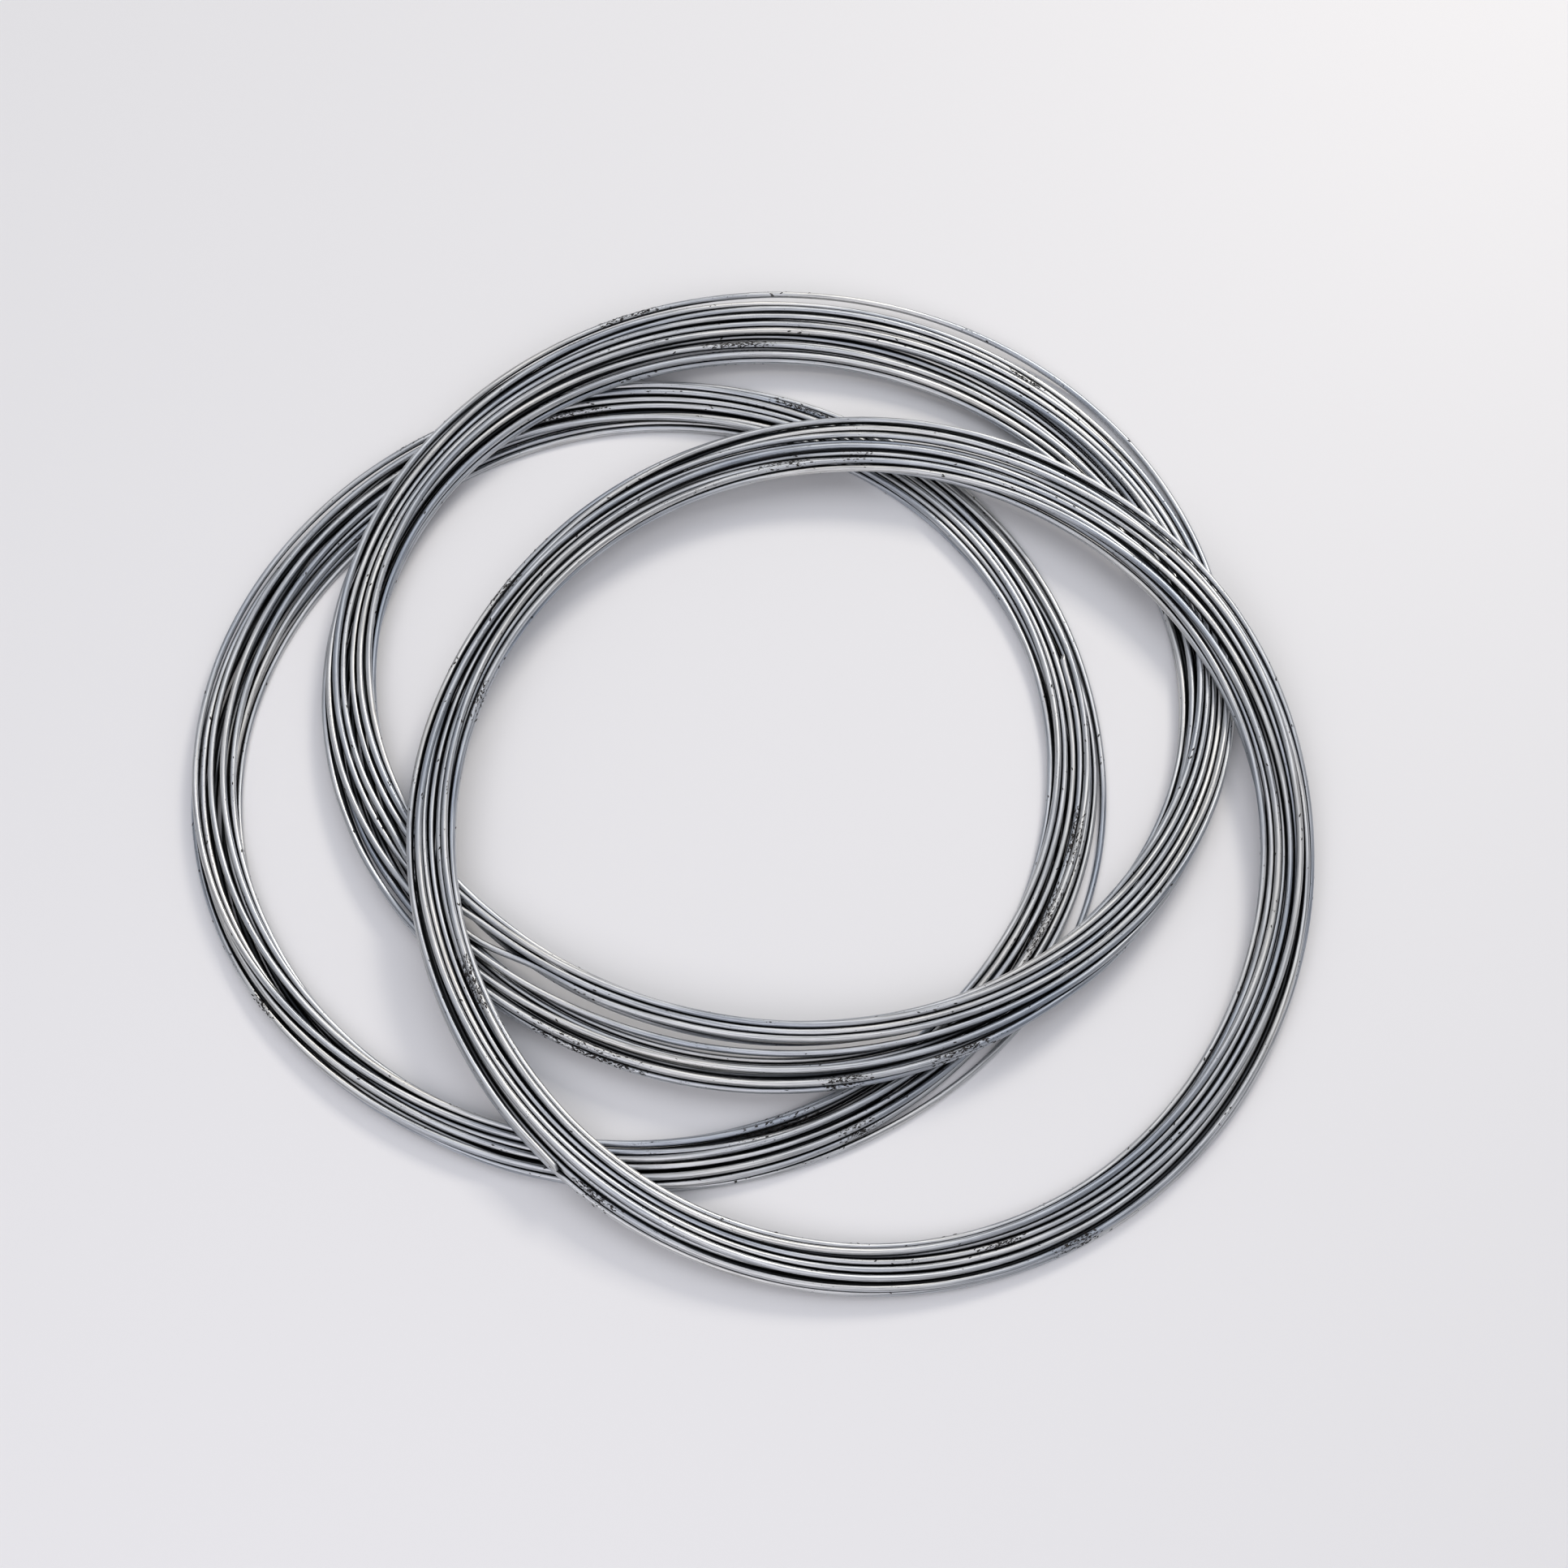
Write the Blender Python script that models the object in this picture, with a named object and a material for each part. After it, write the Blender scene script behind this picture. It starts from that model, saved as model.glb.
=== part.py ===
"""Three loose coils of galvanised steel wire, the stock that wreath frames are bent from.

Each coil is one unbroken length of wire, wound about thirteen to fifteen times round and left
untied, so its turns wander, cross over one another and spread apart. The coils lie on one another.
The frame is in metres, +Z up, and the floor that the coils lie on is z = 0.
"""

import math
from typing import NamedTuple

import bpy
import numpy as np

MM = 0.001

WIRE = 3.0 * MM            # wire diameter
TURN_GAP = 0.28 * MM       # bare gap left between turns that touch
STATIONS = 72              # places round a coil at which its turns are laid
TUBE_STATIONS = 36         # of these, the places that the wire's solid bends at
TUBE_SIDES_RESOLUTION = 1  # six sides round the wire
BEND_SPAN = 200.0 * MM     # radius at which a coil's out-of-plane bend is stated

LAY_ROUNDS = 460           # rounds of settling at every station
TRIM_ROUNDS = 120          # rounds of settling at the tube's stations
SINK = 0.08 * MM           # how far the turns sink in a round
SPREAD = 0.02              # how hard side-by-side turns keep apart, as a share of the pitch
STRAY_HEIGHT = 1.2         # height of a stray turn over the floor, in wire diameters
PARTING_HALF_WIDTH = 3.6 * MM

ZINC_COLOUR = (0.46, 0.48, 0.50, 1.0)
ZINC_ROUGHNESS = 0.38
ZINC_METALLIC = 1.0


class Coil(NamedTuple):
    """A coil as it lies. Angles run clockwise from +X, as seen from above; offsets are in mm."""

    name: str
    centre: tuple      # of the oval, in mm
    oval: tuple        # half lengths of the oval along X and Y, in mm
    first_end: float   # angle of the wire's first end, in degrees
    turns: float       # number of turns from the first end to the last
    lead: float        # where in the bundle the first end lies: 0 inner side, 90 top, 180 outer side
    seed: int          # of the wander of the turns
    outer: tuple       # outer edge of the bundle, inward from the oval, every 30 degrees
    inner: tuple       # inner edge of the bundle, inward from the oval, every 30 degrees
    twist: tuple       # how far the bundle has rolled about its own middle, in degrees, every 30 degrees
    strays: tuple      # (turns from the first end, offset) of a turn that leaves the bundle
    partings: tuple    # (from, to, offset) of a gap between two groups of turns, in turns round
    rest: tuple        # height of the oval's centre in mm, slopes along X and Y, two bends in mm


LOWER = Coil(
    name="wire_coil_lower", centre=(-63.9, 10.2), oval=(202.5, 198.4),
    first_end=344.5, turns=13.18, lead=95, seed=10,
    outer=(-3.0, -1.3, -0.8, -0.8, 2.2, -0.5, -0.5, 0.2, 0.8, 0.0, -0.3, -0.5),
    inner=(20.0, 21.8, 22.6, 22.2, 20.0, 21.3, 23.0, 29.0, 28.4, 24.2, 20.8, 19.0),
    twist=(10, -10, -30, -40, -35, 0, 35, 45, 45, 40, 35, 25),
    strays=((0.00, 4.6), (0.05, 5.6), (0.12, 8.0),
            (5.78, 0.5), (5.86, -2.6), (5.93, -5.2), (6.00, -2.8), (6.03, -2.6),
            (6.08, -6.4), (6.12, -8.2), (6.17, -4.0), (6.22, 0.5)),
    partings=(),
    rest=(0.0, 0.0, 0.0, 0.0, 0.0))

MIDDLE = Coil(
    name="wire_coil_middle", centre=(-3.3, 52.6), oval=(206.5, 202.3),
    first_end=345, turns=15.45, lead=20, seed=2,
    outer=(-0.5, 0.2, 1.5, 0.0, 1.2, 0.0, -0.3, 3.5, 3.6, 3.8, 1.2, 0.3),
    inner=(23.5, 21.5, 25.5, 33.0, 35.2, 30.5, 24.0, 26.0, 33.5, 37.2, 35.8, 31.0),
    twist=(58, 15, -35, -50, -50, -25, 15, 48, 52, 48, 52, 60),
    strays=((4.67, 5.2), (4.74, 2.2), (4.80, -1.4), (4.86, -4.3), (4.92, -4.3), (4.97, -2.4), (5.03, 1.6)),
    partings=((0.27, 0.41, 22.3),),
    rest=(6.6, -0.0097, -0.0077, -3.0, -3.0))

UPPER = Coil(
    name="wire_coil_upper", centre=(35.1, -25.0), oval=(199.5, 208.5),
    first_end=130.5, turns=13.23, lead=165, seed=3,
    outer=(0.0, -0.5, -0.8, -0.3, -1.6, -1.3, -1.5, 1.5, 0.0, -0.2, 1.5, -0.3),
    inner=(24.5, 24.0, 22.2, 21.2, 20.8, 20.3, 20.0, 21.3, 26.0, 30.5, 30.8, 27.5),
    twist=(25, 12, 0, -12, -25, -15, 5, 18, 20, 20, 25, 30),
    strays=(),
    partings=(),
    rest=(10.9, -0.0188, 0.0255, 3.0, 3.0))

COILS = (LOWER, MIDDLE, UPPER)


def around(values, turn):
    """A smooth closed curve through evenly spaced values, read at an angle given in turns."""
    values = np.asarray(values, float)
    at = (turn % 1.0) * len(values)
    first = np.floor(at).astype(int)
    t = at - first
    a, b, c, d = (values[(first + k) % len(values)] for k in (-1, 0, 1, 2))
    return b + 0.5 * t * (c - a + t * (2 * a - 5 * b + 4 * c - d + t * (3 * (b - c) + d - a)))


def wander(along, seed, waves, pace):
    """A slow random swing along the wire, about one unit high, that repeats for the same seed."""
    rng = np.random.default_rng(seed)
    swing = np.zeros_like(along)
    for _ in range(waves):
        rate = rng.uniform(0.25, 1.0) * pace
        swing += rng.uniform(0.6, 1.0) * np.sin(2 * math.pi * (rate * along + rng.random()))
    return swing / math.sqrt(waves)


def stiffness(count, reach):
    """The matrix that evens out a route as a wire's stiffness does, over reach stations."""
    bend = np.zeros((count - 2, count))
    rows = np.arange(count - 2)
    for shift, weight in enumerate((1.0, -2.0, 1.0)):
        bend[rows, rows + shift] = weight
    return np.linalg.inv(np.eye(count) + reach ** 4 * bend.T @ bend)


def part_turns(across, height, stations, size, spread):
    """Push turns that are nearer than size apart. Where two turns cross, only their heights move."""
    for lag in range(stations, len(across), stations):
        aside, above = across[lag:] - across[:-lag], height[lag:] - height[:-lag]
        swap = aside[1:] * aside[:-1] < 0
        crossing = np.zeros(len(aside), bool)
        crossing[1:] |= swap
        crossing[:-1] |= swap
        apart = np.hypot(aside, above) + 1e-9
        push = np.clip(size - apart, 0, None) / apart * 0.5
        upper = np.where(np.convolve(above, np.ones(5) / 5, "same") >= 0, 1.0, -1.0)
        lift = 0.5 * upper * np.clip(size - upper * above, 0, None)
        near = np.clip(1 - np.abs(aside) / (1.9 * size), 0, 1)
        shift = np.where(crossing, 0.0, push * aside) + spread * size * np.sign(aside) * near
        rise = np.where(crossing, lift, push * above)
        across[lag:] += shift
        across[:-lag] -= shift
        height[lag:] += rise
        height[:-lag] -= rise


def settle(lay, across, height, stations, rounds, reach, trimming):
    """Let the turns sink on each other until none overlap, and give their places."""
    pitch = WIRE + TURN_GAP
    flat, upright = stiffness(len(across), reach), stiffness(len(across), 0.73 * reach)
    for step in range(rounds):
        part = 1.0 if trimming else step / rounds
        late = part > 0.8
        keep = 0.85 if late else 0.0
        size = pitch * min(1.0, 0.4 + 1.2 * part)
        across = keep * across + (1 - keep) * (lay["wanted"] + flat @ (across - lay["wanted"]))
        height = keep * height + (1 - keep) * (upright @ height)
        height = height - SINK * (0.0 if part > 0.9 else 0.25 if late else 1.0)
        if not late:
            across = np.where(lay["stray"], 0.7 * across + 0.3 * lay["wanted"], across)
        for _ in range(4 if late else 2):
            part_turns(across, height, stations, size, 0.0 if late else SPREAD)
            height = np.maximum(height, WIRE / 2)
            inside = np.clip(across, lay["low"], lay["high"]) - across
            across = across + np.where(lay["stray"], 0.0, 0.35) * inside
            for first, last, offset in lay["partings"]:
                here = (lay["round"] > first) & (lay["round"] < last)
                off = across - offset * MM
                short = np.clip(PARTING_HALF_WIDTH - np.abs(off), 0, None)
                across = across + np.where(here, 0.3 * np.sign(off) * short, 0.0)
    return across, height


def wind(coil):
    """Lay a coil's turns: angles in turns, offsets inward from the oval, heights over its plane."""
    skip = STATIONS // TUBE_STATIONS
    count = round(coil.turns * TUBE_STATIONS) * skip + 1
    along = np.arange(count) / STATIONS
    turn = coil.first_end / 360 + along
    low = around(coil.outer, turn) * MM + WIRE / 2
    high = around(coil.inner, turn) * MM - WIRE / 2

    roll = math.radians(coil.lead) + 2 * math.pi * along / coil.turns
    roll = roll + 0.5 * wander(along, coil.seed, 6, 1.3) + np.radians(around(coil.twist, turn))
    fill = 0.9 + 0.1 * wander(along, coil.seed + 50, 5, 1.0)
    across = (low + high) / 2 + (high - low) / 2 * fill * np.cos(roll)
    height = WIRE * (1.1 + 0.9 * np.sin(roll))

    stray = np.zeros(count, bool)
    if coil.strays:
        at = np.array([s[0] * STATIONS for s in coil.strays])
        near = np.abs(np.arange(count)[:, None] - at[None]).min(1)
        pull = np.clip(1.5 - near / 8, 0, 1)
        path = np.interp(np.arange(count), at, [s[1] * MM for s in coil.strays])
        across = stiffness(count, 2.2) @ (across * (1 - pull) + path * pull)
        height = height * (1 - pull) + STRAY_HEIGHT * WIRE * pull
        stray = near <= 5

    lay = {"wanted": across, "low": low, "high": high, "stray": stray,
           "round": turn % 1.0, "partings": coil.partings}
    across, height = settle(lay, across.copy(), height, STATIONS, LAY_ROUNDS, 2.6, False)
    lay = {k: v[::skip] if isinstance(v, np.ndarray) else v for k, v in lay.items()}
    lay["wanted"] = across[::skip]
    across, height = settle(lay, across[::skip].copy(), height[::skip].copy(),
                            TUBE_STATIONS, TRIM_ROUNDS, 1.3, True)
    return turn[::skip], across, height


def place(coil, turn, across, height):
    """The wire's route in space, from its places in the bundle and the way that the coil lies."""
    centre, oval = np.array(coil.centre) * MM, np.array(coil.oval) * MM
    angle = -2 * math.pi * turn
    way = np.stack([np.cos(angle), np.sin(angle)], axis=1)
    outward = way / oval
    outward /= np.linalg.norm(outward, axis=1)[:, None]
    x, y = (way * oval - outward * across[:, None]).T
    lift, slope_x, slope_y, bend_square, bend_diagonal = coil.rest
    bend = bend_square * (x * x - y * y) + bend_diagonal * 2 * x * y
    z = height + lift * MM + slope_x * x + slope_y * y + bend * MM / BEND_SPAN ** 2
    return np.stack([x + centre[0], y + centre[1], z], axis=1)


def zinc():
    """Galvanised steel: a dull, slightly blue grey metal."""
    material = bpy.data.materials.new("galvanised_steel")
    material.use_nodes = True
    shader = material.node_tree.nodes["Principled BSDF"]
    shader.inputs["Base Color"].default_value = ZINC_COLOUR
    shader.inputs["Roughness"].default_value = ZINC_ROUGHNESS
    shader.inputs["Metallic"].default_value = ZINC_METALLIC
    return material


def wire(name, points, collection):
    """A round wire with cut ends along the points."""
    curve = bpy.data.curves.new(name, "CURVE")
    curve.dimensions = "3D"
    curve.bevel_depth = WIRE / 2
    curve.bevel_resolution = TUBE_SIDES_RESOLUTION
    curve.use_fill_caps = True
    spline = curve.splines.new("POLY")
    spline.points.add(len(points) - 1)
    for knot, point in zip(spline.points, points):
        knot.co = (*point, 1.0)
    curve.materials.append(zinc())
    solid = bpy.data.objects.new(name, curve)
    collection.objects.link(solid)


def main():
    for old in list(bpy.data.objects):
        bpy.data.objects.remove(old)
    collection = bpy.data.collections.new("wreath_wire_coils")
    bpy.context.scene.collection.children.link(collection)

    routes = [place(coil, *wind(coil)) for coil in COILS]
    everything = np.concatenate(routes)
    middle = (everything.min(0) + everything.max(0)) / 2
    for coil, route in zip(COILS, routes):
        wire(coil.name, route - (middle[0], middle[1], 0.0), collection)


main()
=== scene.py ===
"""Three loose coils of galvanised wire, the stock that wreath frames are bent from, finished for looks.

Each coil is one unbroken length of wire, wound about thirteen to fifteen times round and left
untied, so its turns wander, cross over one another and spread apart. The coils lie on one another
on a pale table. The frame is in metres, +Z up, and the table is z = 0.
"""

import math
from typing import NamedTuple

import bpy
import numpy as np
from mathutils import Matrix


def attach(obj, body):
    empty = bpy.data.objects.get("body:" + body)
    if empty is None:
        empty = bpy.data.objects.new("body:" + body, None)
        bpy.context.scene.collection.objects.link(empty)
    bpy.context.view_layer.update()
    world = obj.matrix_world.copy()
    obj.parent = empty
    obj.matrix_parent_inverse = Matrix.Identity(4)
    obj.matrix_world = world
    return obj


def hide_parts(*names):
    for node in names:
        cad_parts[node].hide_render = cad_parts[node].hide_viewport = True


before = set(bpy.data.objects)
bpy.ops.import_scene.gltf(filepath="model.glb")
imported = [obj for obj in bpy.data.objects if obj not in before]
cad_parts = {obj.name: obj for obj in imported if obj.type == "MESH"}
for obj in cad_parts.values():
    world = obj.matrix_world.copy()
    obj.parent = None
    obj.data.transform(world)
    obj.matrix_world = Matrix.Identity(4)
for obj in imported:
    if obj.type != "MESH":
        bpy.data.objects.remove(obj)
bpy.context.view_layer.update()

MM = 0.001

# The wire and the way that its turns lie

WIRE = 3.0 * MM            # wire diameter
TURN_GAP = 0.28 * MM       # bare gap left between turns that touch
STATIONS = 72              # places round a coil at which its turns are laid
TUBE_STATIONS = 36         # of these, the places that a turn is trimmed at
SMOOTH_STEPS = 6           # steps of the smooth route between two trimmed places
WIRE_SIDES = 16            # sides round the wire
BEND_SPAN = 200.0 * MM     # radius at which a coil's out-of-plane bend is stated

LAY_ROUNDS = 460           # rounds of settling at every station
TRIM_ROUNDS = 120          # rounds of settling at the trimmed places
SINK = 0.08 * MM           # how far the turns sink in a round
SPREAD = 0.02              # how hard side-by-side turns keep apart, as a share of the pitch
STRAY_HEIGHT = 1.2         # height of a stray turn over the floor, in wire diameters
PARTING_HALF_WIDTH = 3.6 * MM

# Cut ends: side cutters pinch the wire to a blunt wedge

SNIP_LENGTH = 2.2 * MM
SNIP_STEPS = (0.25, 0.6, 1.1, 1.6, 2.2, 3.0)    # rings near a cut end, in mm from it
SNIP_EDGE = 0.22           # thickness left at the wedge's edge, as a share of the wire
SNIP_BULGE = 0.10          # how much wider the pinched wire is across the wedge
SNIP_TURNED = (0.6, 2.5)   # how far the cutters were turned about the wire at each end, in radians

# The dipped zinc skin

UNEVEN = 0.035 * MM        # how far the zinc skin is proud or thin
UNEVEN_LENGTH = 22.0 * MM  # length of a swell along the wire
UNEVEN_WIDTH = 1.4 * MM    # width of a swell across the wire
STREAK_LENGTH = 26.0 * MM  # length of a die streak
STREAK_WIDTH = 0.42 * MM   # width of a die streak, drawn wider than the real 0.1 mm so that it shows
TONE_LENGTH = 160.0 * MM   # length over which the zinc's tone changes
PIT = (1.6 * MM, 0.55 * MM)   # length and width of a pit
SHELTER_REACH = 2.5 * WIRE    # a turn farther than this keeps no light off another
NOWHERE = 9.0                 # the place of a turn past the wire's ends, in metres: far out of reach

# The flux ash: flat crumbs, by length along the wire, width and height

CRUMB = (1.15 * MM, 0.42 * MM, 0.18 * MM)
ASH_DENSITY = 1.7e6        # crumbs to a square metre of skin in a patch of ash
DRIFT_DENSITY = 4.0e5      # and in the thickest of the thin drifts between patches
ASH_HALF_WIDTH = 2.4 * MM  # of a patch, across the bundle
DRIFT = (16.0 * MM, 3.0 * MM)    # length and width of a drift

# Camera and light

CAMERA_TILT = 66.0         # degrees above the table
CAMERA_FIELD = 32.0        # degrees across the picture
CAMERA_DISTANCE = 1.233
CAMERA_TARGET = (0.01565, -0.0111, 0.0)
TABLE_SIZE = 6.0


class Coil(NamedTuple):
    """A coil as it lies. Angles run clockwise from +X, as seen from above; offsets are in mm."""

    name: str
    body: str          # the CAD body that it rides on
    centre: tuple      # of the oval, in mm
    oval: tuple        # half lengths of the oval along X and Y, in mm
    first_end: float   # angle of the wire's first end, in degrees
    turns: float       # number of turns from the first end to the last
    lead: float        # where in the bundle the first end lies: 0 inner side, 90 top, 180 outer side
    seed: int          # of the wander of the turns
    outer: tuple       # outer edge of the bundle, inward from the oval, every 30 degrees
    inner: tuple       # inner edge of the bundle, inward from the oval, every 30 degrees
    twist: tuple       # how far the bundle has rolled about its own middle, in degrees, every 30 degrees
    strays: tuple      # (turns from the first end, offset) of a turn that leaves the bundle
    partings: tuple    # (from, to, offset) of a gap between two groups of turns, in turns round
    rest: tuple        # height of the oval's centre in mm, slopes along X and Y, two bends in mm
    ash: tuple         # (from, to, offset) of a patch of dark flux ash, in degrees and mm


LOWER = Coil(
    name="wire_coil_lower", body="lower_coil", centre=(-63.9, 10.2), oval=(202.5, 198.4),
    first_end=344.5, turns=13.18, lead=95, seed=10,
    outer=(-3.0, -1.3, -0.8, -0.8, 2.2, -0.5, -0.5, 0.2, 0.8, 0.0, -0.3, -0.5),
    inner=(20.0, 21.8, 22.6, 22.2, 20.0, 21.3, 23.0, 29.0, 28.4, 24.2, 20.8, 19.0),
    twist=(10, -10, -30, -40, -35, 0, 35, 45, 45, 40, 35, 25),
    strays=((0.00, 4.6), (0.05, 5.6), (0.12, 8.0),
            (5.78, 0.5), (5.86, -2.6), (5.93, -5.2), (6.00, -2.8), (6.03, -2.6),
            (6.08, -6.4), (6.12, -8.2), (6.17, -4.0), (6.22, 0.5)),
    partings=(),
    rest=(0.0, 0.0, 0.0, 0.0, 0.0),
    ash=((8, 14, 4), (20, 29, 6), (66, 76, 15), (60, 63, 0), (142, 145, 0), (250, 263, 13),
         (288, 297, -1)))

MIDDLE = Coil(
    name="wire_coil_middle", body="middle_coil", centre=(-3.3, 52.6), oval=(206.5, 202.3),
    first_end=345, turns=15.45, lead=20, seed=2,
    outer=(-0.5, 0.2, 1.5, 0.0, 1.2, 0.0, -0.3, 3.5, 3.6, 3.8, 1.2, 0.3),
    inner=(23.5, 21.5, 25.5, 33.0, 35.2, 30.5, 24.0, 26.0, 33.5, 37.2, 35.8, 31.0),
    twist=(58, 15, -35, -50, -50, -25, 15, 48, 52, 48, 52, 60),
    strays=((4.67, 5.2), (4.74, 2.2), (4.80, -1.4), (4.86, -4.3), (4.92, -4.3), (4.97, -2.4), (5.03, 1.6)),
    partings=((0.27, 0.41, 22.3),),
    rest=(6.6, -0.0097, -0.0077, -3.0, -3.0),
    ash=((64, 70, 1), (80, 84, 2), (106, 120, 1), (247, 254, 1), (260, 268, 27), (304, 309, 4)))

UPPER = Coil(
    name="wire_coil_upper", body="upper_coil", centre=(35.1, -25.0), oval=(199.5, 208.5),
    first_end=130.5, turns=13.23, lead=165, seed=3,
    outer=(0.0, -0.5, -0.8, -0.3, -1.6, -1.3, -1.5, 1.5, 0.0, -0.2, 1.5, -0.3),
    inner=(24.5, 24.0, 22.2, 21.2, 20.8, 20.3, 20.0, 21.3, 26.0, 30.5, 30.8, 27.5),
    twist=(25, 12, 0, -12, -25, -15, 5, 18, 20, 20, 25, 30),
    strays=(),
    partings=(),
    rest=(10.9, -0.0188, 0.0255, 3.0, 3.0),
    ash=((62, 66, 0), (70, 75, 11), (123, 127, 1), (153, 159, 14), (211, 216, 3), (256, 262, 21),
         (268, 271, 21), (196, 200, 19)))

COILS = (LOWER, MIDDLE, UPPER)


# The route of each wire, worked out as the CAD source works it out

def around(values, turn):
    """A smooth closed curve through evenly spaced values, read at an angle given in turns."""
    values = np.asarray(values, float)
    at = (turn % 1.0) * len(values)
    first = np.floor(at).astype(int)
    t = at - first
    a, b, c, d = (values[(first + k) % len(values)] for k in (-1, 0, 1, 2))
    return b + 0.5 * t * (c - a + t * (2 * a - 5 * b + 4 * c - d + t * (3 * (b - c) + d - a)))


def wander(along, seed, waves, pace):
    """A slow random swing along the wire, about one unit high, that repeats for the same seed."""
    rng = np.random.default_rng(seed)
    swing = np.zeros_like(along)
    for _ in range(waves):
        rate = rng.uniform(0.25, 1.0) * pace
        swing += rng.uniform(0.6, 1.0) * np.sin(2 * math.pi * (rate * along + rng.random()))
    return swing / math.sqrt(waves)


def stiffness(count, reach):
    """The matrix that evens out a route as a wire's stiffness does, over reach stations."""
    bend = np.zeros((count - 2, count))
    rows = np.arange(count - 2)
    for shift, weight in enumerate((1.0, -2.0, 1.0)):
        bend[rows, rows + shift] = weight
    return np.linalg.inv(np.eye(count) + reach ** 4 * bend.T @ bend)


def part_turns(across, height, stations, size, spread):
    """Push turns that are nearer than size apart. Where two turns cross, only their heights move."""
    for lag in range(stations, len(across), stations):
        aside, above = across[lag:] - across[:-lag], height[lag:] - height[:-lag]
        swap = aside[1:] * aside[:-1] < 0
        crossing = np.zeros(len(aside), bool)
        crossing[1:] |= swap
        crossing[:-1] |= swap
        apart = np.hypot(aside, above) + 1e-9
        push = np.clip(size - apart, 0, None) / apart * 0.5
        upper = np.where(np.convolve(above, np.ones(5) / 5, "same") >= 0, 1.0, -1.0)
        lift = 0.5 * upper * np.clip(size - upper * above, 0, None)
        near = np.clip(1 - np.abs(aside) / (1.9 * size), 0, 1)
        shift = np.where(crossing, 0.0, push * aside) + spread * size * np.sign(aside) * near
        rise = np.where(crossing, lift, push * above)
        across[lag:] += shift
        across[:-lag] -= shift
        height[lag:] += rise
        height[:-lag] -= rise


def settle(lay, across, height, stations, rounds, reach, trimming):
    """Let the turns sink on each other until none overlap, and give their places."""
    pitch = WIRE + TURN_GAP
    flat, upright = stiffness(len(across), reach), stiffness(len(across), 0.73 * reach)
    for step in range(rounds):
        part = 1.0 if trimming else step / rounds
        late = part > 0.8
        keep = 0.85 if late else 0.0
        size = pitch * min(1.0, 0.4 + 1.2 * part)
        across = keep * across + (1 - keep) * (lay["wanted"] + flat @ (across - lay["wanted"]))
        height = keep * height + (1 - keep) * (upright @ height)
        height = height - SINK * (0.0 if part > 0.9 else 0.25 if late else 1.0)
        if not late:
            across = np.where(lay["stray"], 0.7 * across + 0.3 * lay["wanted"], across)
        for _ in range(4 if late else 2):
            part_turns(across, height, stations, size, 0.0 if late else SPREAD)
            height = np.maximum(height, WIRE / 2)
            inside = np.clip(across, lay["low"], lay["high"]) - across
            across = across + np.where(lay["stray"], 0.0, 0.35) * inside
            for first, last, offset in lay["partings"]:
                here = (lay["round"] > first) & (lay["round"] < last)
                off = across - offset * MM
                short = np.clip(PARTING_HALF_WIDTH - np.abs(off), 0, None)
                across = across + np.where(here, 0.3 * np.sign(off) * short, 0.0)
    return across, height


def wind(coil):
    """Lay a coil's turns: angles in turns, offsets inward from the oval, heights over its plane."""
    skip = STATIONS // TUBE_STATIONS
    count = round(coil.turns * TUBE_STATIONS) * skip + 1
    along = np.arange(count) / STATIONS
    turn = coil.first_end / 360 + along
    low = around(coil.outer, turn) * MM + WIRE / 2
    high = around(coil.inner, turn) * MM - WIRE / 2

    roll = math.radians(coil.lead) + 2 * math.pi * along / coil.turns
    roll = roll + 0.5 * wander(along, coil.seed, 6, 1.3) + np.radians(around(coil.twist, turn))
    fill = 0.9 + 0.1 * wander(along, coil.seed + 50, 5, 1.0)
    across = (low + high) / 2 + (high - low) / 2 * fill * np.cos(roll)
    height = WIRE * (1.1 + 0.9 * np.sin(roll))

    stray = np.zeros(count, bool)
    if coil.strays:
        at = np.array([s[0] * STATIONS for s in coil.strays])
        near = np.abs(np.arange(count)[:, None] - at[None]).min(1)
        pull = np.clip(1.5 - near / 8, 0, 1)
        path = np.interp(np.arange(count), at, [s[1] * MM for s in coil.strays])
        across = stiffness(count, 2.2) @ (across * (1 - pull) + path * pull)
        height = height * (1 - pull) + STRAY_HEIGHT * WIRE * pull
        stray = near <= 5

    lay = {"wanted": across, "low": low, "high": high, "stray": stray,
           "round": turn % 1.0, "partings": coil.partings}
    across, height = settle(lay, across.copy(), height, STATIONS, LAY_ROUNDS, 2.6, False)
    lay = {k: v[::skip] if isinstance(v, np.ndarray) else v for k, v in lay.items()}
    lay["wanted"] = across[::skip]
    across, height = settle(lay, across[::skip].copy(), height[::skip].copy(),
                            TUBE_STATIONS, TRIM_ROUNDS, 1.3, True)
    return turn[::skip], across, height


def place(coil, turn, across, height):
    """The wire's route in space, from its places in the bundle and the way that the coil lies."""
    centre, oval = np.array(coil.centre) * MM, np.array(coil.oval) * MM
    angle = -2 * math.pi * turn
    way = np.stack([np.cos(angle), np.sin(angle)], axis=1)
    outward = way / oval
    outward /= np.linalg.norm(outward, axis=1)[:, None]
    x, y = (way * oval - outward * across[:, None]).T
    lift, slope_x, slope_y, bend_square, bend_diagonal = coil.rest
    bend = bend_square * (x * x - y * y) + bend_diagonal * 2 * x * y
    z = height + lift * MM + slope_x * x + slope_y * y + bend * MM / BEND_SPAN ** 2
    return np.stack([x + centre[0], y + centre[1], z], axis=1)


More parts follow.
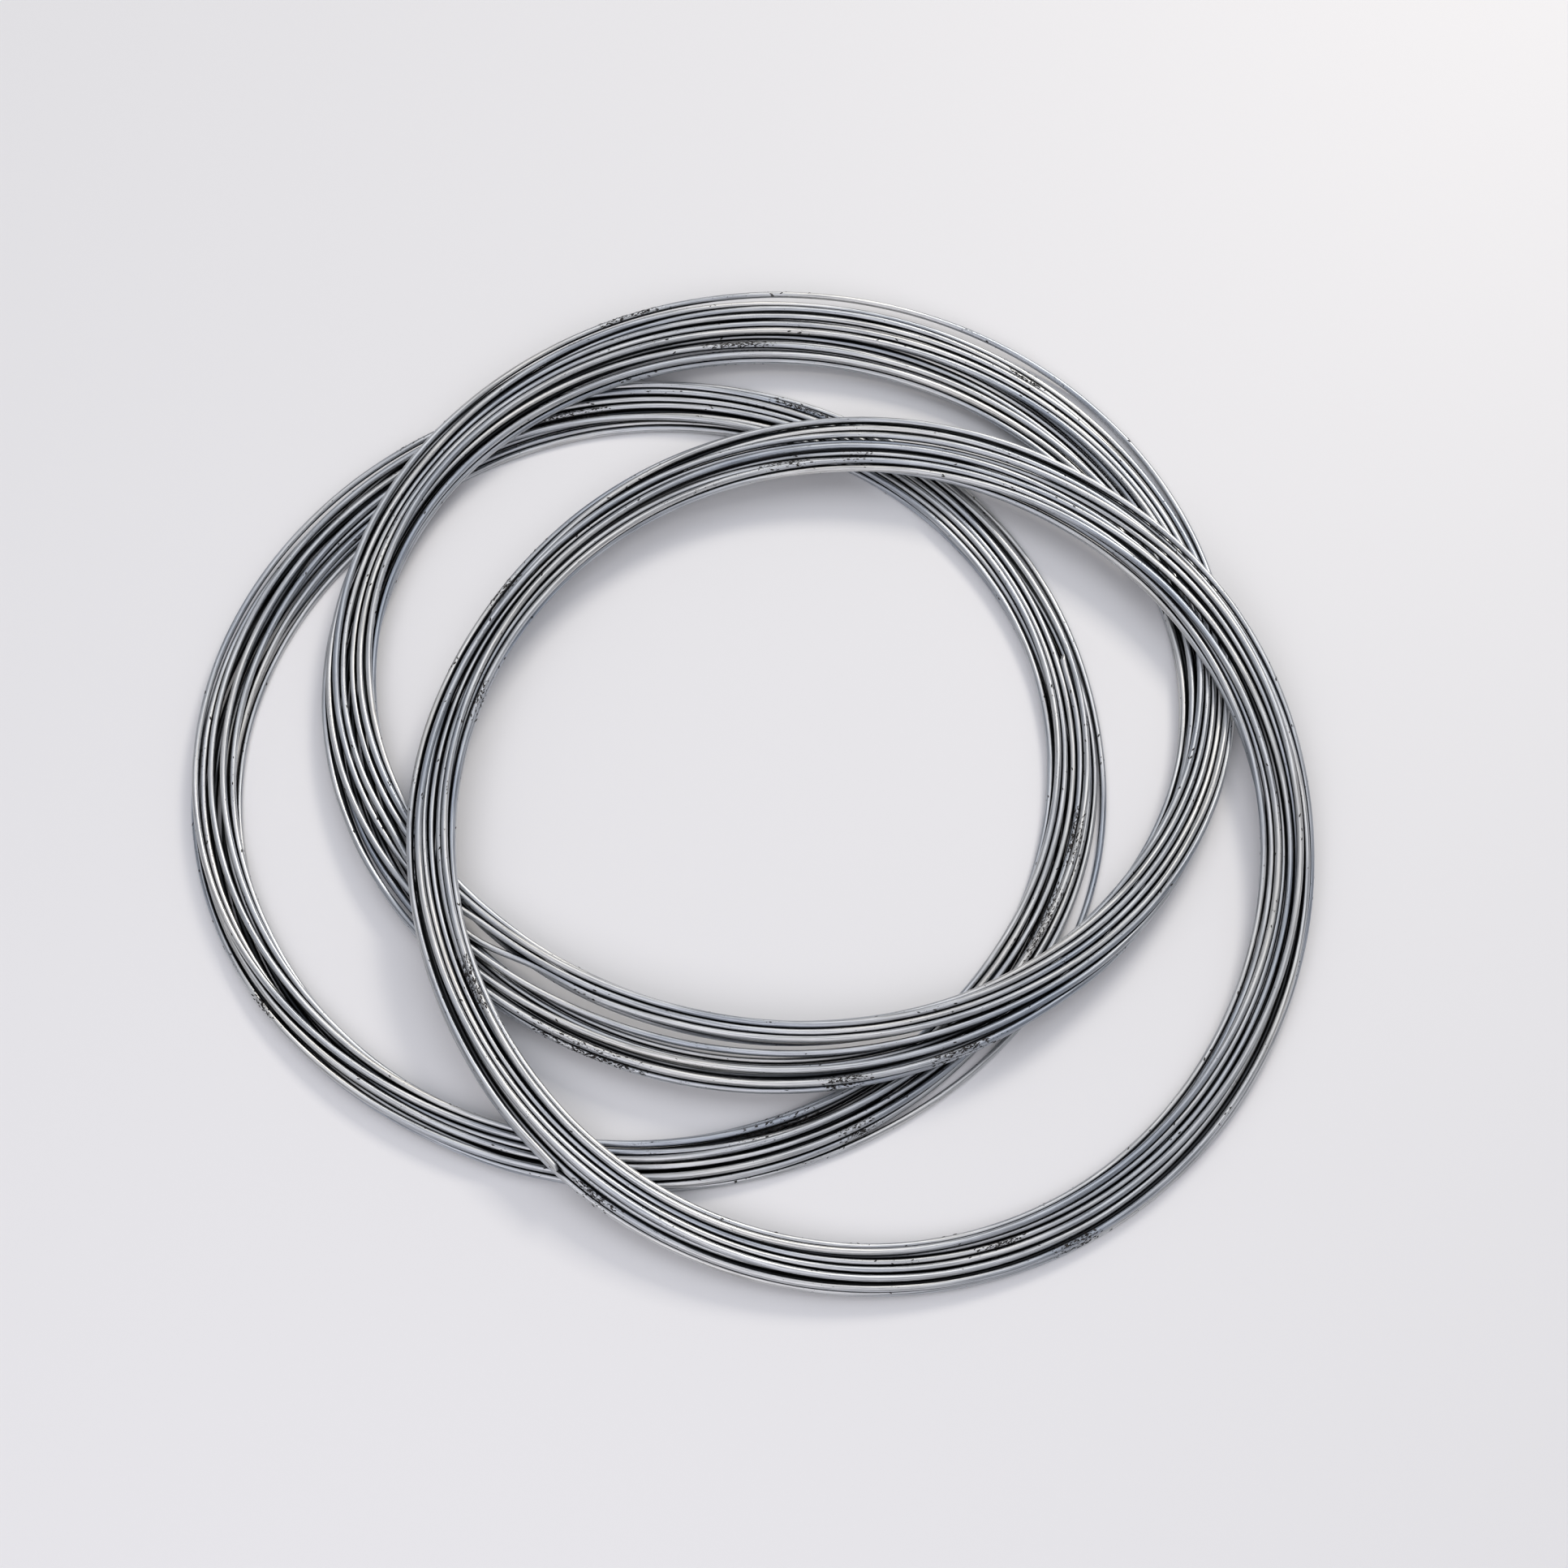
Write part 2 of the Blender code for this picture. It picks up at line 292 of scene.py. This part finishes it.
def smooth(values):
    """A smooth line through rows of values, with SMOOTH_STEPS steps from each to the next."""
    padded = np.concatenate([[2 * values[0] - values[1]], values, [2 * values[-1] - values[-2]]])
    at = np.arange((len(values) - 1) * SMOOTH_STEPS + 1) / SMOOTH_STEPS
    first = np.minimum(np.floor(at).astype(int), len(values) - 2)
    t = (at - first)[:, None]
    a, b, c, d = (padded[first + k] for k in range(4))
    return b + 0.5 * t * (c - a + t * (2 * a - 5 * b + 4 * c - d + t * (3 * (b - c) + d - a)))


# Small tools

def linear(colour):
    """An sRGB hex colour as the linear RGBA that a shader takes."""
    parts = [int(colour[k:k + 2], 16) / 255 for k in (1, 3, 5)]
    return (*[c / 12.92 if c <= 0.04045 else ((c + 0.055) / 1.055) ** 2.4 for c in parts], 1.0)


def add(tree, kind, values=None, links=None, **settings):
    """Add a node with its settings, the values of its sockets and the outputs that feed them."""
    node = tree.nodes.new(kind)
    for name, value in settings.items():
        setattr(node, name, value)
    for socket, value in (values or {}).items():
        node.inputs[socket].default_value = value
    for socket, source in (links or {}).items():
        tree.links.new(source, node.inputs[socket])
    return node


def new_tree(name, sizes):
    """An empty Geometry Nodes tree with the named inputs: (name, socket type, value) each."""
    tree = bpy.data.node_groups.new(name, "GeometryNodeTree")
    tree.interface.new_socket("Geometry", in_out="INPUT", socket_type="NodeSocketGeometry")
    for label, kind, value in sizes:
        socket = tree.interface.new_socket(label, in_out="INPUT", socket_type=kind)
        if value is not None:
            socket.default_value = value
    tree.interface.new_socket("Geometry", in_out="OUTPUT", socket_type="NodeSocketGeometry")
    return tree


def grow(mesh, name, tree, sizes):
    """Run a Geometry Nodes tree on a mesh with these inputs, and give the plain mesh that it makes."""
    seedling = bpy.data.objects.new(name, mesh)
    bpy.context.scene.collection.objects.link(seedling)
    modifier = seedling.modifiers.new(name, "NODES")
    modifier.node_group = tree
    for item in tree.interface.items_tree:
        if item.in_out == "INPUT" and item.name in sizes:
            modifier[item.identifier] = sizes[item.name]
    bpy.context.view_layer.update()
    evaluated = seedling.evaluated_get(bpy.context.evaluated_depsgraph_get())
    made = bpy.data.meshes.new_from_object(evaluated)
    bpy.data.objects.remove(seedling)
    made.name = name
    return made


# Materials

def galvanised_wire():
    """Hot-dip galvanised steel wire, wiped as it left the bath: a satin blue-grey zinc skin with fine
    streaks along the wire, slow changes of tone from turn to turn, pits, stains by the flux ash, and
    painted shade in the grooves between turns: near black where the other turns keep light off."""
    material = bpy.data.materials.new("galvanised_wire_satin_zinc")
    material.use_nodes = True
    tree = material.node_tree
    shader = tree.nodes["Principled BSDF"]
    shader.inputs["Metallic"].default_value = 1.0

    place_on_wire = add(tree, "ShaderNodeAttribute", attribute_name="wire_place").outputs["Vector"]
    ash = add(tree, "ShaderNodeAttribute", attribute_name="ash").outputs["Fac"]
    # How much light the coil's other turns keep off each point, painted into the colour below as shade
    painted_groove_shade = add(tree, "ShaderNodeAttribute", attribute_name="painted_groove_shade").outputs["Fac"]

    slow = add(tree, "ShaderNodeVectorMath", {1: (1 / TONE_LENGTH, 60.0, 60.0)}, {0: place_on_wire},
               operation="MULTIPLY")
    tone = add(tree, "ShaderNodeTexNoise", {"Scale": 1.0, "Detail": 3.0}, {"Vector": slow.outputs[0]})
    tones = add(tree, "ShaderNodeValToRGB", links={"Fac": tone.outputs["Fac"]})
    ramp = tones.color_ramp
    ramp.elements[0].position, ramp.elements[0].color = 0.34, linear("#A8B0BC")
    ramp.elements[1].position, ramp.elements[1].color = 0.66, linear("#E4E3E0")
    middle = ramp.elements.new(0.5)
    middle.color = linear("#CFD2D6")

    streak_place = add(tree, "ShaderNodeVectorMath",
                       {1: (1 / STREAK_LENGTH, 1 / STREAK_WIDTH, 1 / STREAK_WIDTH)},
                       {0: place_on_wire}, operation="MULTIPLY")
    streak = add(tree, "ShaderNodeTexNoise", {"Scale": 1.0, "Detail": 4.0, "Roughness": 0.65},
                 {"Vector": streak_place.outputs[0]})
    streak_tone = add(tree, "ShaderNodeMapRange",
                      {"From Min": 0.38, "From Max": 0.62, "To Min": 0.60, "To Max": 1.12},
                      {"Value": streak.outputs["Fac"]})
    streaked = add(tree, "ShaderNodeVectorMath", None,
                   {0: tones.outputs["Color"], 3: streak_tone.outputs["Result"]}, operation="SCALE")

    # Painted shade: the zinc is darkened towards near black where the other turns keep light off, its edge
    # broken up along the streaks
    painted_shade = add(tree, "ShaderNodeMath", {1: 0.35}, {0: streak.outputs["Fac"], 2: painted_groove_shade},
                operation="MULTIPLY_ADD")
    painted_shade_cover = add(tree, "ShaderNodeMapRange", {"From Min": 0.57, "From Max": 0.92, "To Max": 0.95},
                      {"Value": painted_shade.outputs[0]}, interpolation_type="SMOOTHSTEP")
    zinc_with_painted_shade = add(tree, "ShaderNodeMix", {7: linear("#1E2023")},
                {0: painted_shade_cover.outputs["Result"], 6: streaked.outputs[0]}, data_type="RGBA")

    pit_place = add(tree, "ShaderNodeVectorMath", {1: (1 / PIT[0], 1 / PIT[1], 1 / PIT[1])},
                    {0: place_on_wire}, operation="MULTIPLY")
    pit = add(tree, "ShaderNodeTexNoise", {"Scale": 1.0, "Detail": 3.0, "Roughness": 0.65},
              {"Vector": pit_place.outputs[0]})
    patch_place = add(tree, "ShaderNodeVectorMath", {1: (1 / 0.035, 120.0, 120.0)}, {0: place_on_wire},
                      operation="MULTIPLY")
    patch = add(tree, "ShaderNodeTexNoise", {"Scale": 1.0, "Detail": 2.0},
                {"Vector": patch_place.outputs[0]})
    patches = add(tree, "ShaderNodeMapRange",
                  {"From Min": 0.48, "From Max": 0.72, "To Min": 0.0, "To Max": 0.13},
                  {"Value": patch.outputs["Fac"]})
    stain = add(tree, "ShaderNodeMath", {1: 0.22}, {0: ash}, operation="MULTIPLY")
    worn = add(tree, "ShaderNodeMath", None, {0: patches.outputs["Result"], 1: stain.outputs[0]},
               operation="MAXIMUM")
    dirt = add(tree, "ShaderNodeMath", None, {0: pit.outputs["Fac"], 1: worn.outputs[0]}, operation="ADD")
    spots = add(tree, "ShaderNodeMapRange", {"From Min": 0.73, "From Max": 0.76},
                {"Value": dirt.outputs[0]})
    spotted = add(tree, "ShaderNodeMix", {7: linear("#2A2829")},
                  {0: spots.outputs["Result"], 6: zinc_with_painted_shade.outputs[2]}, data_type="RGBA")
    tree.links.new(spotted.outputs[2], shader.inputs["Base Color"])

    roughness = add(tree, "ShaderNodeMapRange",
                    {"From Min": 0.38, "From Max": 0.62, "To Min": 0.28, "To Max": 0.48},
                    {"Value": streak.outputs["Fac"]})
    rough = add(tree, "ShaderNodeMath", {1: 0.4}, {0: spots.outputs["Result"]}, operation="MULTIPLY")
    rougher = add(tree, "ShaderNodeMath", None,
                  {0: roughness.outputs["Result"], 1: rough.outputs[0]}, operation="ADD")
    tree.links.new(rougher.outputs[0], shader.inputs["Roughness"])

    sunk = add(tree, "ShaderNodeMath", {1: -0.6}, {0: spots.outputs["Result"]}, operation="MULTIPLY")
    relief = add(tree, "ShaderNodeMath", None, {0: streak.outputs["Fac"], 1: sunk.outputs[0]},
                 operation="ADD")
    bump = add(tree, "ShaderNodeBump", {"Strength": 0.8, "Distance": 0.08 * MM},
               {"Height": relief.outputs[0]})
    tree.links.new(bump.outputs["Normal"], shader.inputs["Normal"])
    return material


def flux_ash():
    """Burnt flux and zinc ash from the bath, baked on as a crumbly, matt, almost black crust."""
    material = bpy.data.materials.new("flux_ash_crust")
    material.use_nodes = True
    tree = material.node_tree
    shader = tree.nodes["Principled BSDF"]
    where = add(tree, "ShaderNodeTexCoord").outputs["Object"]
    grain = add(tree, "ShaderNodeTexNoise", {"Scale": 1 / (0.5 * MM), "Detail": 3.0}, {"Vector": where})
    tones = add(tree, "ShaderNodeValToRGB", links={"Fac": grain.outputs["Fac"]})
    tones.color_ramp.elements[0].position, tones.color_ramp.elements[0].color = 0.35, linear("#121113")
    tones.color_ramp.elements[1].position, tones.color_ramp.elements[1].color = 0.7, linear("#3A3532")
    tree.links.new(tones.outputs["Color"], shader.inputs["Base Color"])
    shader.inputs["Roughness"].default_value = 0.75
    bump = add(tree, "ShaderNodeBump", {"Strength": 0.6, "Distance": 0.1 * MM},
               {"Height": grain.outputs["Fac"]})
    tree.links.new(bump.outputs["Normal"], shader.inputs["Normal"])
    return material


def table_top():
    """A pale, faintly blue-white board with a dull sheen."""
    material = bpy.data.materials.new("pale_board")
    material.use_nodes = True
    tree = material.node_tree
    shader = tree.nodes["Principled BSDF"]
    shader.inputs["Base Color"].default_value = linear("#F1F1F3")
    shader.inputs["Roughness"].default_value = 0.5
    return material


# Trees

def wire_tree():
    """Round wire along a route. Each point also gets its place on the wire, as if it were straight:
    how far along it lies, and where on the round it lies."""
    tree = new_tree("round_wire", (
        ("Wire Diameter", "NodeSocketFloat", WIRE), ("Sides", "NodeSocketInt", WIRE_SIDES),
        ("Uneven", "NodeSocketFloat", UNEVEN), ("Uneven Length", "NodeSocketFloat", UNEVEN_LENGTH),
        ("Finish", "NodeSocketMaterial", None)))
    given = add(tree, "NodeGroupInput").outputs
    route = add(tree, "GeometryNodeMeshToCurve", links={"Mesh": given["Geometry"]})
    upright = add(tree, "GeometryNodeSetCurveNormal", links={"Curve": route.outputs["Curve"]}, mode="Z_UP")
    measured = add(tree, "GeometryNodeStoreNamedAttribute", {"Name": "along"},
                   {"Geometry": upright.outputs["Curve"],
                    "Value": add(tree, "GeometryNodeSplineParameter").outputs["Length"]},
                   data_type="FLOAT", domain="POINT")
    aimed = add(tree, "GeometryNodeStoreNamedAttribute", {"Name": "wire_way"},
                {"Geometry": measured.outputs["Geometry"],
                 "Value": add(tree, "GeometryNodeInputTangent").outputs[0]},
                data_type="FLOAT_VECTOR", domain="POINT")
    half = add(tree, "ShaderNodeMath", {1: 0.5}, {0: given["Wire Diameter"]}, operation="MULTIPLY")
    round_line = add(tree, "GeometryNodeCurvePrimitiveCircle", mode="RADIUS",
                     links={"Resolution": given["Sides"], "Radius": half.outputs[0]})
    rim = add(tree, "GeometryNodeStoreNamedAttribute", {"Name": "rim"},
              {"Geometry": round_line.outputs["Curve"],
               "Value": add(tree, "GeometryNodeInputPosition").outputs[0]},
              data_type="FLOAT_VECTOR", domain="POINT")
    tube = add(tree, "GeometryNodeCurveToMesh", {"Fill Caps": True},
               {"Curve": aimed.outputs["Geometry"], "Profile Curve": rim.outputs["Geometry"]})
    along = add(tree, "GeometryNodeInputNamedAttribute", {"Name": "along"}, data_type="FLOAT")
    on_rim = add(tree, "GeometryNodeInputNamedAttribute", {"Name": "rim"}, data_type="FLOAT_VECTOR")
    parts = add(tree, "ShaderNodeSeparateXYZ", links={0: on_rim.outputs["Attribute"]})
    place_on_wire = add(tree, "ShaderNodeCombineXYZ",
                        links={"X": along.outputs["Attribute"], "Y": parts.outputs["X"],
                               "Z": parts.outputs["Y"]})
    placed = add(tree, "GeometryNodeStoreNamedAttribute", {"Name": "wire_place"},
                 {"Geometry": tube.outputs["Mesh"], "Value": place_on_wire.outputs[0]},
                 data_type="FLOAT_VECTOR", domain="POINT")
    per_swell = add(tree, "ShaderNodeMath", {0: 1.0}, {1: given["Uneven Length"]}, operation="DIVIDE")
    stretch = add(tree, "ShaderNodeCombineXYZ", {"Y": 1 / UNEVEN_WIDTH, "Z": 1 / UNEVEN_WIDTH},
                  {"X": per_swell.outputs[0]})
    swell_place = add(tree, "ShaderNodeVectorMath", None,
                      {0: place_on_wire.outputs[0], 1: stretch.outputs[0]}, operation="MULTIPLY")
    swell = add(tree, "ShaderNodeTexNoise", {"Scale": 1.0, "Detail": 2.0}, {"Vector": swell_place.outputs[0]})
    spread = add(tree, "ShaderNodeMapRange", {"To Min": -2.0, "To Max": 2.0}, {"Value": swell.outputs["Fac"]})
    proud = add(tree, "ShaderNodeMath", None, {0: spread.outputs["Result"], 1: given["Uneven"]},
                operation="MULTIPLY")
    outward = add(tree, "ShaderNodeVectorMath", None,
                  {0: add(tree, "GeometryNodeInputNormal").outputs[0], 3: proud.outputs[0]},
                  operation="SCALE")
    uneven = add(tree, "GeometryNodeSetPosition", None,
                 {"Geometry": placed.outputs["Geometry"], "Offset": outward.outputs[0]})
    whole = add(tree, "GeometryNodeRealizeInstances", links={"Geometry": uneven.outputs["Geometry"]})
    coated = add(tree, "GeometryNodeSetMaterial",
                 links={"Geometry": whole.outputs["Geometry"], "Material": given["Finish"]})
    add(tree, "NodeGroupOutput", links={0: coated.outputs["Geometry"]})
    return tree


def crumb_tree():
    """Flat crumbs of crust on the wire, drawn out along it: thick where the ash attribute is high, and
    in thin drifts everywhere else."""
    tree = new_tree("crust_crumbs", (
        ("Crumbs per Square Metre", "NodeSocketFloat", 1.0),
        ("Drift per Square Metre", "NodeSocketFloat", 1.0),
        ("Crumb Length", "NodeSocketFloat", 1.0 * MM), ("Crumb Width", "NodeSocketFloat", 0.5 * MM),
        ("Crumb Height", "NodeSocketFloat", 0.2 * MM), ("Seed", "NodeSocketInt", 1),
        ("Crust", "NodeSocketMaterial", None)))
    given = add(tree, "NodeGroupInput").outputs
    ash = add(tree, "GeometryNodeInputNamedAttribute", {"Name": "ash"}, data_type="FLOAT")
    wire_way = add(tree, "GeometryNodeInputNamedAttribute", {"Name": "wire_way"}, data_type="FLOAT_VECTOR")
    place_on_wire = add(tree, "GeometryNodeInputNamedAttribute", {"Name": "wire_place"},
                        data_type="FLOAT_VECTOR")
    drift_place = add(tree, "ShaderNodeVectorMath", {1: (1 / DRIFT[0], 1 / DRIFT[1], 1 / DRIFT[1])},
                      {0: place_on_wire.outputs["Attribute"]}, operation="MULTIPLY")
    drift = add(tree, "ShaderNodeTexNoise", {"Scale": 1.0, "Detail": 2.0},
                {"Vector": drift_place.outputs[0]})
    drifts = add(tree, "ShaderNodeMapRange", {"From Min": 0.60, "From Max": 0.74},
                 {"Value": drift.outputs["Fac"]})
    thin = add(tree, "ShaderNodeMath", None,
               {0: drifts.outputs["Result"], 1: given["Drift per Square Metre"]}, operation="MULTIPLY")
    thick = add(tree, "ShaderNodeMath", None,
                {0: ash.outputs["Attribute"], 1: given["Crumbs per Square Metre"], 2: thin.outputs[0]},
                operation="MULTIPLY_ADD")
    spots = add(tree, "GeometryNodeDistributePointsOnFaces", None,
                {"Mesh": given["Geometry"], "Density": thick.outputs[0], "Seed": given["Seed"]})
    along = add(tree, "FunctionNodeAlignRotationToVector", None,
                {"Vector": wire_way.outputs["Attribute"]}, axis="X")
    turned = add(tree, "FunctionNodeAlignRotationToVector", None,
                 {"Rotation": along.outputs[0], "Vector": spots.outputs["Normal"]}, axis="Z",
                 pivot_axis="X")
    crumb = add(tree, "GeometryNodeMeshIcoSphere", {"Radius": 0.5, "Subdivisions": 1})
    scale = add(tree, "FunctionNodeRandomValue", {2: 0.0, 3: 1.0}, {"Seed": given["Seed"]},
                data_type="FLOAT")
    few_large = add(tree, "ShaderNodeMath", {1: 2.2}, {0: scale.outputs[1]}, operation="POWER")
    scaled = add(tree, "ShaderNodeMapRange", {"To Min": 0.35, "To Max": 2.0},
                 {"Value": few_large.outputs[0]})
    shape = add(tree, "ShaderNodeCombineXYZ",
                links={"X": given["Crumb Length"], "Y": given["Crumb Width"], "Z": given["Crumb Height"]})
    size = add(tree, "ShaderNodeVectorMath", None,
               {0: shape.outputs[0], 3: scaled.outputs["Result"]}, operation="SCALE")
    tilt = add(tree, "FunctionNodeRandomValue", {0: (-0.15, -0.15, -0.5), 1: (0.15, 0.15, 0.5)},
               {"Seed": given["Seed"]}, data_type="FLOAT_VECTOR")
    tilted = add(tree, "FunctionNodeRotateRotation", None,
                 {"Rotation": turned.outputs[0], "Rotate By": tilt.outputs[0]}, rotation_space="LOCAL")
    crumbs = add(tree, "GeometryNodeInstanceOnPoints", None,
                 {"Points": spots.outputs["Points"], "Instance": crumb.outputs["Mesh"],
                  "Rotation": tilted.outputs[0], "Scale": size.outputs[0]})
    whole = add(tree, "GeometryNodeRealizeInstances", links={"Geometry": crumbs.outputs[0]})
    coated = add(tree, "GeometryNodeSetMaterial",
                 links={"Geometry": whole.outputs["Geometry"], "Material": given["Crust"]})
    add(tree, "NodeGroupOutput", links={0: coated.outputs["Geometry"]})
    return tree


# The coils

def near_ends(route, values):
    """The route with rings added near both cut ends, where the cutters pinch it, and values to match."""
    length = np.concatenate([[0.0], np.cumsum(np.linalg.norm(np.diff(route, axis=0), axis=1))])
    extra = np.array(SNIP_STEPS) * MM
    at = np.unique(np.concatenate([length, extra, length[-1] - extra]))
    at = at[np.concatenate([[True], np.diff(at) > 0.1 * MM])]
    both = np.column_stack([route, values])
    both = np.stack([np.interp(at, length, column) for column in both.T], axis=1)
    return both[:, :3], both[:, 3:], at


def across_wire(points):
    """The middle of each ring of points (ring, side, xyz), and two ways across the wire there: level,
    towards the inside of the coil, and upright."""
    middle = points.mean(axis=1, keepdims=True)
    way = np.gradient(middle[:, 0], axis=0)
    way /= np.linalg.norm(way, axis=1)[:, None]
    level = np.cross(way, (0.0, 0.0, 1.0))
    level /= np.linalg.norm(level, axis=1)[:, None]
    return middle, level, np.cross(level, way)


def snip(points, at):
    """Pinch the wire's two cut ends to wedges."""
    middle, level, upright = across_wire(points)
    for from_end, angle in zip((at, at[-1] - at), SNIP_TURNED):
        squeeze = math.cos(angle) * level + math.sin(angle) * upright
        widen = math.cos(angle) * upright - math.sin(angle) * level
        near = np.clip(1 - from_end / SNIP_LENGTH, 0, 1)
        for direction, change in ((squeeze, -(1 - SNIP_EDGE) * near ** 0.8), (widen, SNIP_BULGE * near)):
            part = np.einsum("rsk,rk->rs", points - middle, direction)
            points = points + (part * change[:, None])[:, :, None] * direction[:, None, :]
    return points


def shelter(points, turn, bundle):
    """How much of the light at each point of the skin is kept off by the coil's other turns nearby.
    bundle holds each ring's place in the bundle, inward and up."""
    middle, level, upright = across_wire(points)
    skin = np.stack([np.einsum("rsk,rk->rs", points - middle, way) for way in (level, upright)], axis=2)
    facing = skin / np.linalg.norm(skin, axis=2, keepdims=True)
    kept_off = np.zeros(skin.shape[:2])
    reach = math.ceil(turn[-1] - turn[0])
    for lag in range(-reach, reach + 1):
        if lag:
            other = [np.interp(turn + lag, turn, part, left=NOWHERE, right=NOWHERE) for part in bundle.T]
            towards = (np.stack(other, axis=1) - bundle)[:, None] - skin
            distance = np.linalg.norm(towards, axis=2)
            half = np.arcsin(np.clip(WIRE / 2 / distance, 0, 1))
            lean = np.arccos(np.clip((towards * facing).sum(axis=2) / distance, -1, 1))
            edges = [np.sin(np.clip(lean + side, -math.pi / 2, math.pi / 2)) for side in (half, -half)]
            kept_off += np.where(distance < SHELTER_REACH, (edges[0] - edges[1]) / 2, 0.0)
    return np.clip(kept_off, 0, 1)


def ash_on(coil, turn, across, up):
    """How much flux ash lies on each point of the skin, from the coil's patches: only on upper sides."""
    degrees = (turn * 360) % 360
    amount = np.zeros_like(turn)
    for first, last, offset in coil.ash:
        inside = np.clip(np.minimum(degrees - first, last - degrees) + 1.0, 0, 1)
        aside = np.abs(across - offset * MM - WIRE / 2)
        beside = np.clip(1.4 - aside / ASH_HALF_WIDTH, 0, 1)
        amount = np.maximum(amount, inside * beside)
    return amount[:, None] * np.clip(up, 0, 1)


def make_coil(coil, tree, zinc, route, turn, bundle):
    """The coil's wire as a mesh, with the attributes that its finish reads."""
    points, values, at = near_ends(route, np.column_stack([turn, bundle]))
    line = bpy.data.meshes.new(coil.name)
    line.from_pydata(points.tolist(), [(k, k + 1) for k in range(len(points) - 1)], [])
    mesh = grow(line, coil.name, tree, {"Wire Diameter": WIRE, "Sides": WIRE_SIDES, "Uneven": UNEVEN,
                                        "Uneven Length": UNEVEN_LENGTH, "Finish": zinc})
    skin = np.empty(len(mesh.vertices) * 3, np.float32)
    mesh.vertices.foreach_get("co", skin)
    rings = skin.reshape(-1, WIRE_SIDES, 3).astype(float)
    # The light kept off each point by the other turns, stored for the zinc to paint as shade
    painted_groove_shade = shelter(rings, values[:, 0], values[:, 1:])
    rings = snip(rings, at)
    mesh.vertices.foreach_set("co", rings.reshape(-1).astype(np.float32))
    up = (rings - rings.mean(axis=1, keepdims=True))[:, :, 2] / (WIRE / 2)
    ash = ash_on(coil, values[:, 0], values[:, 1], up)
    for name, amount in (("ash", ash), ("painted_groove_shade", painted_groove_shade)):
        kept = mesh.attributes.new(name, "FLOAT", "POINT")
        kept.data.foreach_set("value", amount.ravel().astype(np.float32))
    for name in ("along", "rim"):
        if name in mesh.attributes:
            mesh.attributes.remove(mesh.attributes[name])
    mesh.polygons.foreach_set("use_smooth", [len(p.vertices) == 4 for p in mesh.polygons])
    mesh.update()
    return mesh, points, at[-1]


def show(name, mesh, body):
    """Put a finished mesh in the scene as a piece that rides on a body."""
    piece = bpy.data.objects.new(name, mesh)
    bpy.context.scene.collection.objects.link(piece)
    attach(piece, body)
    return piece


def make_camera():
    """A camera at the height and the distance that the coils are looked at from."""
    tilt = math.radians(CAMERA_TILT)
    camera = bpy.data.objects.new("camera", bpy.data.cameras.new("camera"))
    bpy.context.scene.collection.objects.link(camera)
    camera.data.angle = math.radians(CAMERA_FIELD)
    x, y, z = CAMERA_TARGET
    camera.location = (x, y - CAMERA_DISTANCE * math.cos(tilt), z + CAMERA_DISTANCE * math.sin(tilt))
    camera.rotation_euler = (math.pi / 2 - tilt, 0.0, 0.0)
    bpy.context.scene.camera = camera


def lamp(name, where, size, watts, colour):
    """A soft panel that faces the coils."""
    data = bpy.data.lights.new(name, "AREA")
    data.shape = "RECTANGLE"
    data.size, data.size_y = size
    data.energy = watts
    data.color = linear(colour)[:3]
    light = bpy.data.objects.new(name, data)
    bpy.context.scene.collection.objects.link(light)
    light.location = where
    x, y, z = where
    light.rotation_euler = (math.atan2(math.hypot(x, y), z), 0.0, math.atan2(x, -y))


def make_studio():
    """A pale table under a wide overhead panel, with a lower panel behind on the right that draws
    bright lines along the wires, and a weak one in front that opens up their shaded sides."""
    table = bpy.data.meshes.new("table")
    half = TABLE_SIZE / 2
    table.from_pydata([(-half, -half, 0), (half, -half, 0), (half, half, 0), (-half, half, 0)], [],
                      [(0, 1, 2, 3)])
    table.materials.append(table_top())
    floor = bpy.data.objects.new("table", table)
    bpy.context.scene.collection.objects.link(floor)
    lamp("overhead_panel", (0.0, 0.6, 2.2), (3.0, 2.2), 14.5, "#F4F5FB")
    lamp("key_panel", (1.1, 2.1, 1.9), (1.0, 0.7), 33.0, "#FFF8EC")
    lamp("front_panel", (-0.3, -0.9, 1.0), (1.2, 0.8), 4.5, "#FBF6FA")
    world = bpy.data.worlds.new("studio")
    bpy.context.scene.world = world
    world.use_nodes = True
    sky = world.node_tree.nodes["Background"]
    sky.inputs["Color"].default_value = linear("#ECEEF4")
    sky.inputs["Strength"].default_value = 0.43
    bpy.context.scene.view_settings.view_transform = "Standard"


make_camera()

laid = [(coil, *wind(coil)) for coil in COILS]
routes = [place(*each) for each in laid]
everything = np.concatenate(routes)
middle = (everything.min(axis=0) + everything.max(axis=0)) / 2
zinc = galvanised_wire()
crust = flux_ash()
round_wire = wire_tree()
crumbs = crumb_tree()
for (coil, turn, across, height), route in zip(laid, routes):
    fine = smooth(route - (middle[0], middle[1], 0.0))
    values = smooth(np.stack([turn, across, height], axis=1))
    mesh, line, length = make_coil(coil, round_wire, zinc, fine, values[:, 0], values[:, 1:])
    specks = grow(mesh.copy(), coil.name + "_flux_ash", crumbs,
                  {"Crumbs per Square Metre": ASH_DENSITY, "Drift per Square Metre": DRIFT_DENSITY,
                   "Crumb Length": CRUMB[0], "Crumb Width": CRUMB[1], "Crumb Height": CRUMB[2],
                   "Seed": coil.seed, "Crust": crust})
    piece = show(coil.name + "_wire", mesh, coil.body)
    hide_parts(coil.name)
    ash = show(coil.name + "_flux_ash", specks, coil.body)

make_studio()
